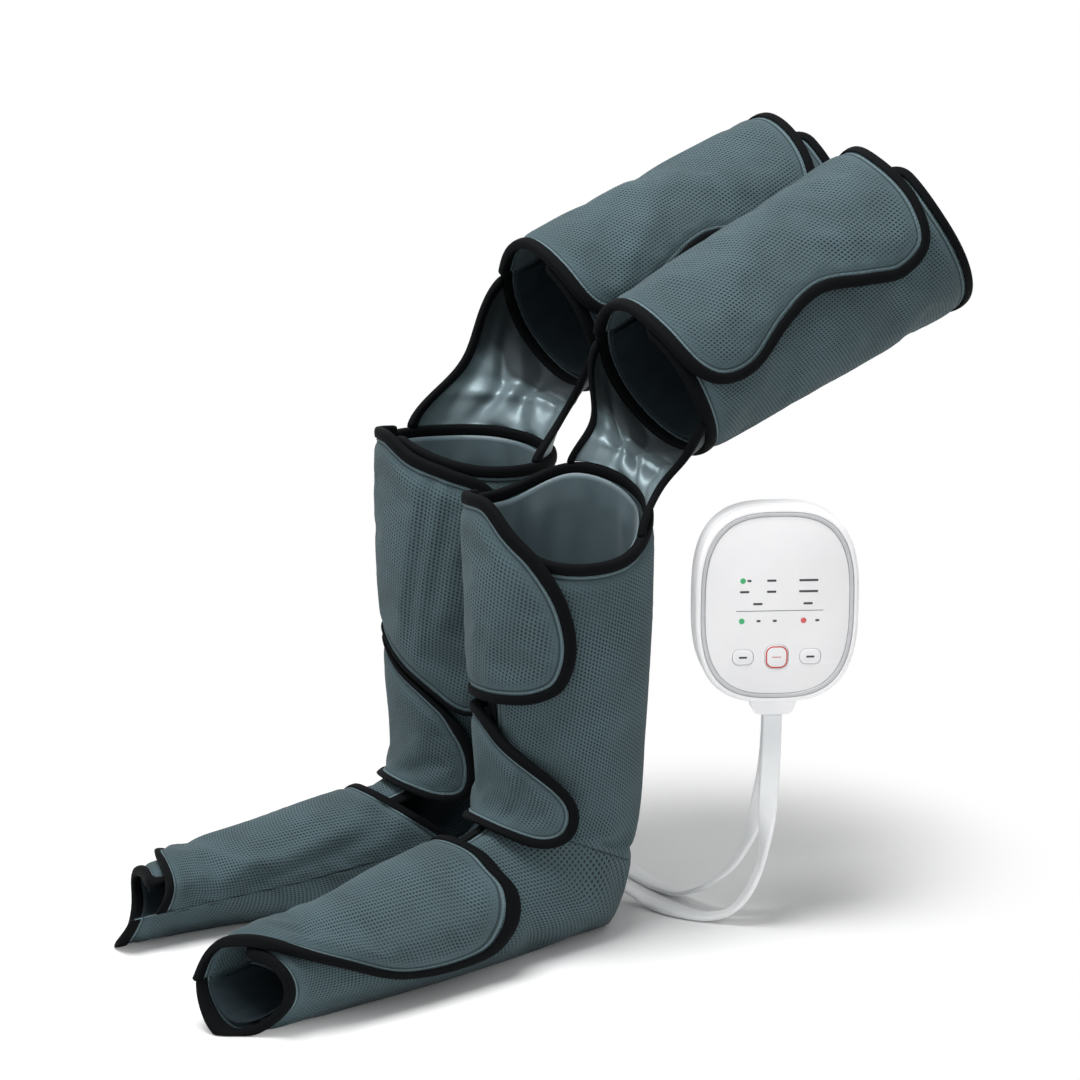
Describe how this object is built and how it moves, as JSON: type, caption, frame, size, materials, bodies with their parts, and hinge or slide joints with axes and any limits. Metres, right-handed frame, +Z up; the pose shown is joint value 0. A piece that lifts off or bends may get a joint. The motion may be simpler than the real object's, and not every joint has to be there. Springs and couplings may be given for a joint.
{
  "type": "air compression leg massager",
  "caption": "Padded full-leg air compression wraps with wrap-over flaps, joined by flat air hoses to a handheld controller with push keys.",
  "frame": {"origin": "On the floor between the two worn wraps, level with the middle of the near leg's ankle.", "axes": "+Z up; toes towards -Y and the thighs' upper ends towards +Y; +X from the right leg to the left leg and the handset."},
  "size_m": [0.3794, 0.7318, 0.6445],
  "materials": {
    "cloth": "woven, padded",
    "satin": "satin",
    "tape": "ribbed tape",
    "bladder": "smooth",
    "shell": "satin",
    "face": "gloss",
    "ring": "satin",
    "key": "satin",
    "silicone": "matte",
    "board": "matte",
    "metal": "brushed",
    "hose": "satin"
  },
  "bodies": {
    "wraps": {"left_calf_sleeve": "cloth", "left_calf_air_cell": "bladder", "left_calf_lining": "satin", "left_calf_binding": "tape", "left_foot_sleeve": "cloth", "left_foot_air_cell": "bladder", "left_foot_lining": "satin", "left_foot_binding": "tape", "left_knee_panel": "satin", "left_heel_port": "shell", "right_calf_sleeve": "cloth", "right_calf_air_cell": "bladder", "right_calf_lining": "satin", "right_calf_binding": "tape", "right_foot_sleeve": "cloth", "right_foot_air_cell": "bladder", "right_foot_lining": "satin", "right_foot_binding": "tape", "right_knee_panel": "satin", "right_heel_port": "shell", "back_case": "shell", "front_case": "shell", "trim_ring": "ring", "face_panel": "face", "key_pad": "silicone", "circuit_board": "board", "air_pump": "metal", "valve_block": "silicone", "power_inlet": "silicone", "hose_gland": "shell", "left_hose": "hose", "right_hose": "hose"},
    "left_thigh": {"left_thigh_sleeve": "cloth", "left_thigh_air_cell": "bladder", "left_thigh_lining": "satin", "left_thigh_binding": "tape"},
    "left_upper_calf_flap": {"left_upper_calf_flap": "cloth", "left_upper_calf_flap_binding": "tape"},
    "left_lower_calf_flap": {"left_lower_calf_flap": "cloth", "left_lower_calf_flap_binding": "tape"},
    "left_foot_flap": {"left_foot_flap": "cloth", "left_foot_flap_binding": "tape"},
    "left_thigh_flap": {"left_thigh_flap": "cloth", "left_thigh_flap_binding": "tape"},
    "right_thigh": {"right_thigh_sleeve": "cloth", "right_thigh_air_cell": "bladder", "right_thigh_lining": "satin", "right_thigh_binding": "tape"},
    "right_upper_calf_flap": {"right_upper_calf_flap": "cloth", "right_upper_calf_flap_binding": "tape"},
    "right_lower_calf_flap": {"right_lower_calf_flap": "cloth", "right_lower_calf_flap_binding": "tape"},
    "right_foot_flap": {"right_foot_flap": "cloth", "right_foot_flap_binding": "tape"},
    "right_thigh_flap": {"right_thigh_flap": "cloth", "right_thigh_flap_binding": "tape"},
    "mode_key": {"mode_key": "key"},
    "power_key": {"power_key": "key"},
    "heat_key": {"heat_key": "key"}
  },
  "joints": [
    {"name": "left_upper_calf_flap_hinge", "type": "hinge", "parent": "wraps", "child": "left_upper_calf_flap", "pos_m": [0.03965, -0.05325, 0.2846], "axis": [0.0174, 0.0265, -0.9995], "range_deg": [0, 100]},
    {"name": "left_lower_calf_flap_hinge", "type": "hinge", "parent": "wraps", "child": "left_lower_calf_flap", "pos_m": [0.04327, -0.05532, 0.1453], "axis": [0.0152, -0.1414, -0.9898], "range_deg": [0, 120]},
    {"name": "left_foot_flap_hinge", "type": "hinge", "parent": "wraps", "child": "left_foot_flap", "pos_m": [0.07427, -0.20346, 0.04774], "axis": [0.2259, -0.9707, -0.0813], "range_deg": [0, 65]},
    {"name": "left_thigh_flap_hinge", "type": "hinge", "parent": "left_thigh", "child": "left_thigh_flap", "pos_m": [0.0316, 0.19128, 0.53969], "axis": [0.0293, -0.91, -0.4135], "range_deg": [0, 85]},
    {"name": "left_knee", "type": "hinge", "parent": "wraps", "child": "left_thigh", "pos_m": [0.082, 0.015, 0.42], "axis": [1, 0, 0], "range_deg": [-22, 55], "deforming": ["left_knee_panel"]},
    {"name": "right_upper_calf_flap_hinge", "type": "hinge", "parent": "wraps", "child": "right_upper_calf_flap", "pos_m": [-0.13127, -0.03342, 0.30533], "axis": [0.0122, 0.0134, -0.9998], "range_deg": [0, 100]},
    {"name": "right_lower_calf_flap_hinge", "type": "hinge", "parent": "wraps", "child": "right_lower_calf_flap", "pos_m": [-0.12863, -0.03664, 0.15411], "axis": [0.0077, -0.0841, -0.9964], "range_deg": [0, 120]},
    {"name": "right_foot_flap_hinge", "type": "hinge", "parent": "wraps", "child": "right_foot_flap", "pos_m": [-0.03417, -0.16277, 0.04031], "axis": [0.0649, 0.9955, 0.0692], "range_deg": [0, 65]},
    {"name": "right_thigh_flap_hinge", "type": "hinge", "parent": "right_thigh", "child": "right_thigh_flap", "pos_m": [-0.14046, 0.21145, 0.56323], "axis": [0.0293, -0.9367, -0.349], "range_deg": [0, 85]},
    {"name": "right_knee", "type": "hinge", "parent": "wraps", "child": "right_thigh", "pos_m": [-0.08, 0.027, 0.447], "axis": [1, 0, 0], "range_deg": [-22, 55], "deforming": ["right_knee_panel"]},
    {"name": "mode_key_press", "type": "slide", "parent": "wraps", "child": "mode_key", "axis": [-0.8829, 0.4695, 0], "range_m": [0, 0.001], "stiffness_N_per_m": 500, "springref_m": -0.0005},
    {"name": "power_key_press", "type": "slide", "parent": "wraps", "child": "power_key", "axis": [-0.8829, 0.4695, 0], "range_m": [0, 0.001], "stiffness_N_per_m": 500, "springref_m": -0.0005},
    {"name": "heat_key_press", "type": "slide", "parent": "wraps", "child": "heat_key", "axis": [-0.8829, 0.4695, 0], "range_m": [0, 0.001], "stiffness_N_per_m": 500, "springref_m": -0.0005}
  ]
}
